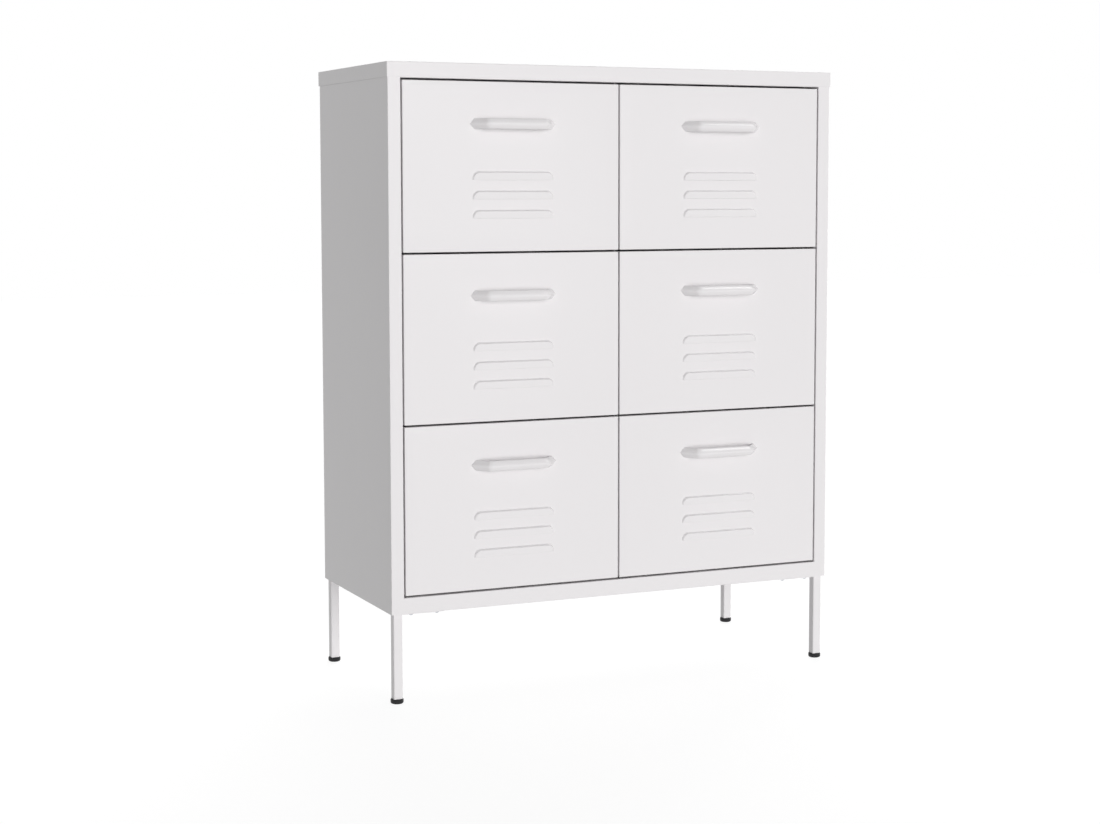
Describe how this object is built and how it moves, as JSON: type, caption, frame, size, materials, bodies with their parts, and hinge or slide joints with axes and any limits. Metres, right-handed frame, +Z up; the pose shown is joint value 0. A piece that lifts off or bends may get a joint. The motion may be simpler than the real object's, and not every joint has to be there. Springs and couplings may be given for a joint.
{
  "type": "metal drawer cabinet",
  "caption": "Free-standing sheet-steel drawer cabinet on slim square legs, with louvred drawer fronts, bow handles and ball-bearing slides.",
  "frame": {"origin": "on the floor, under the middle of the whole object with its handles", "axes": "+Z up; the drawers open towards -Y; +X to the right when facing the drawers"},
  "size_m": [0.8, 0.3754, 1.015],
  "materials": {
    "white_powder_coat": "satin, finely textured white powder coat",
    "zinc_plated_steel": "bright zinc plate",
    "bright_steel": "polished bearing steel",
    "black_plastic": "matte moulded black plastic"
  },
  "bodies": {
    "cabinet": {"lid": "white_powder_coat", "side_panel_left": "white_powder_coat", "side_panel_right": "white_powder_coat", "back_panel": "white_powder_coat", "bottom_panel": "white_powder_coat", "top_front_rail": "white_powder_coat", "centre_divider": "white_powder_coat", "leg_screws": "zinc_plated_steel", "back_screws": "zinc_plated_steel", "leg_front_left": "white_powder_coat", "leg_front_right": "white_powder_coat", "leg_rear_left": "white_powder_coat", "leg_rear_right": "white_powder_coat", "foot_front_left": "black_plastic", "foot_front_right": "black_plastic", "foot_rear_left": "black_plastic", "foot_rear_right": "black_plastic", "top_left_cabinet_slides": "zinc_plated_steel", "top_right_cabinet_slides": "zinc_plated_steel", "middle_left_cabinet_slides": "zinc_plated_steel", "middle_right_cabinet_slides": "zinc_plated_steel", "bottom_left_cabinet_slides": "zinc_plated_steel", "bottom_right_cabinet_slides": "zinc_plated_steel"},
    "top_left_drawer": {"top_left_front": "white_powder_coat", "top_left_tray": "white_powder_coat", "top_left_handle": "white_powder_coat", "top_left_screws": "zinc_plated_steel", "top_left_drawer_slides": "zinc_plated_steel"},
    "top_left_cages": {"top_left_ball_cages": "bright_steel"},
    "top_right_drawer": {"top_right_front": "white_powder_coat", "top_right_tray": "white_powder_coat", "top_right_handle": "white_powder_coat", "top_right_screws": "zinc_plated_steel", "top_right_drawer_slides": "zinc_plated_steel"},
    "top_right_cages": {"top_right_ball_cages": "bright_steel"},
    "middle_left_drawer": {"middle_left_front": "white_powder_coat", "middle_left_tray": "white_powder_coat", "middle_left_handle": "white_powder_coat", "middle_left_screws": "zinc_plated_steel", "middle_left_drawer_slides": "zinc_plated_steel"},
    "middle_left_cages": {"middle_left_ball_cages": "bright_steel"},
    "middle_right_drawer": {"middle_right_front": "white_powder_coat", "middle_right_tray": "white_powder_coat", "middle_right_handle": "white_powder_coat", "middle_right_screws": "zinc_plated_steel", "middle_right_drawer_slides": "zinc_plated_steel"},
    "middle_right_cages": {"middle_right_ball_cages": "bright_steel"},
    "bottom_left_drawer": {"bottom_left_front": "white_powder_coat", "bottom_left_tray": "white_powder_coat", "bottom_left_handle": "white_powder_coat", "bottom_left_screws": "zinc_plated_steel", "bottom_left_drawer_slides": "zinc_plated_steel"},
    "bottom_left_cages": {"bottom_left_ball_cages": "bright_steel"},
    "bottom_right_drawer": {"bottom_right_front": "white_powder_coat", "bottom_right_tray": "white_powder_coat", "bottom_right_handle": "white_powder_coat", "bottom_right_screws": "zinc_plated_steel", "bottom_right_drawer_slides": "zinc_plated_steel"},
    "bottom_right_cages": {"bottom_right_ball_cages": "bright_steel"}
  },
  "joints": [
    {"name": "top_left_drawer_slide", "type": "slide", "parent": "cabinet", "child": "top_left_drawer", "axis": [0, -1, 0], "range_m": [0, 0.22]},
    {"name": "top_left_cage_travel", "type": "slide", "parent": "cabinet", "child": "top_left_cages", "axis": [0, -1, 0], "range_m": [0, 0.11]},
    {"name": "top_right_drawer_slide", "type": "slide", "parent": "cabinet", "child": "top_right_drawer", "axis": [0, -1, 0], "range_m": [0, 0.22]},
    {"name": "top_right_cage_travel", "type": "slide", "parent": "cabinet", "child": "top_right_cages", "axis": [0, -1, 0], "range_m": [0, 0.11]},
    {"name": "middle_left_drawer_slide", "type": "slide", "parent": "cabinet", "child": "middle_left_drawer", "axis": [0, -1, 0], "range_m": [0, 0.22]},
    {"name": "middle_left_cage_travel", "type": "slide", "parent": "cabinet", "child": "middle_left_cages", "axis": [0, -1, 0], "range_m": [0, 0.11]},
    {"name": "middle_right_drawer_slide", "type": "slide", "parent": "cabinet", "child": "middle_right_drawer", "axis": [0, -1, 0], "range_m": [0, 0.22]},
    {"name": "middle_right_cage_travel", "type": "slide", "parent": "cabinet", "child": "middle_right_cages", "axis": [0, -1, 0], "range_m": [0, 0.11]},
    {"name": "bottom_left_drawer_slide", "type": "slide", "parent": "cabinet", "child": "bottom_left_drawer", "axis": [0, -1, 0], "range_m": [0, 0.22]},
    {"name": "bottom_left_cage_travel", "type": "slide", "parent": "cabinet", "child": "bottom_left_cages", "axis": [0, -1, 0], "range_m": [0, 0.11]},
    {"name": "bottom_right_drawer_slide", "type": "slide", "parent": "cabinet", "child": "bottom_right_drawer", "axis": [0, -1, 0], "range_m": [0, 0.22]},
    {"name": "bottom_right_cage_travel", "type": "slide", "parent": "cabinet", "child": "bottom_right_cages", "axis": [0, -1, 0], "range_m": [0, 0.11]}
  ],
  "couplings": [
    {"joint": "top_left_cage_travel", "follows": "top_left_drawer_slide", "ratio": 0.5},
    {"joint": "top_right_cage_travel", "follows": "top_right_drawer_slide", "ratio": 0.5},
    {"joint": "middle_left_cage_travel", "follows": "middle_left_drawer_slide", "ratio": 0.5},
    {"joint": "middle_right_cage_travel", "follows": "middle_right_drawer_slide", "ratio": 0.5},
    {"joint": "bottom_left_cage_travel", "follows": "bottom_left_drawer_slide", "ratio": 0.5},
    {"joint": "bottom_right_cage_travel", "follows": "bottom_right_drawer_slide", "ratio": 0.5}
  ]
}
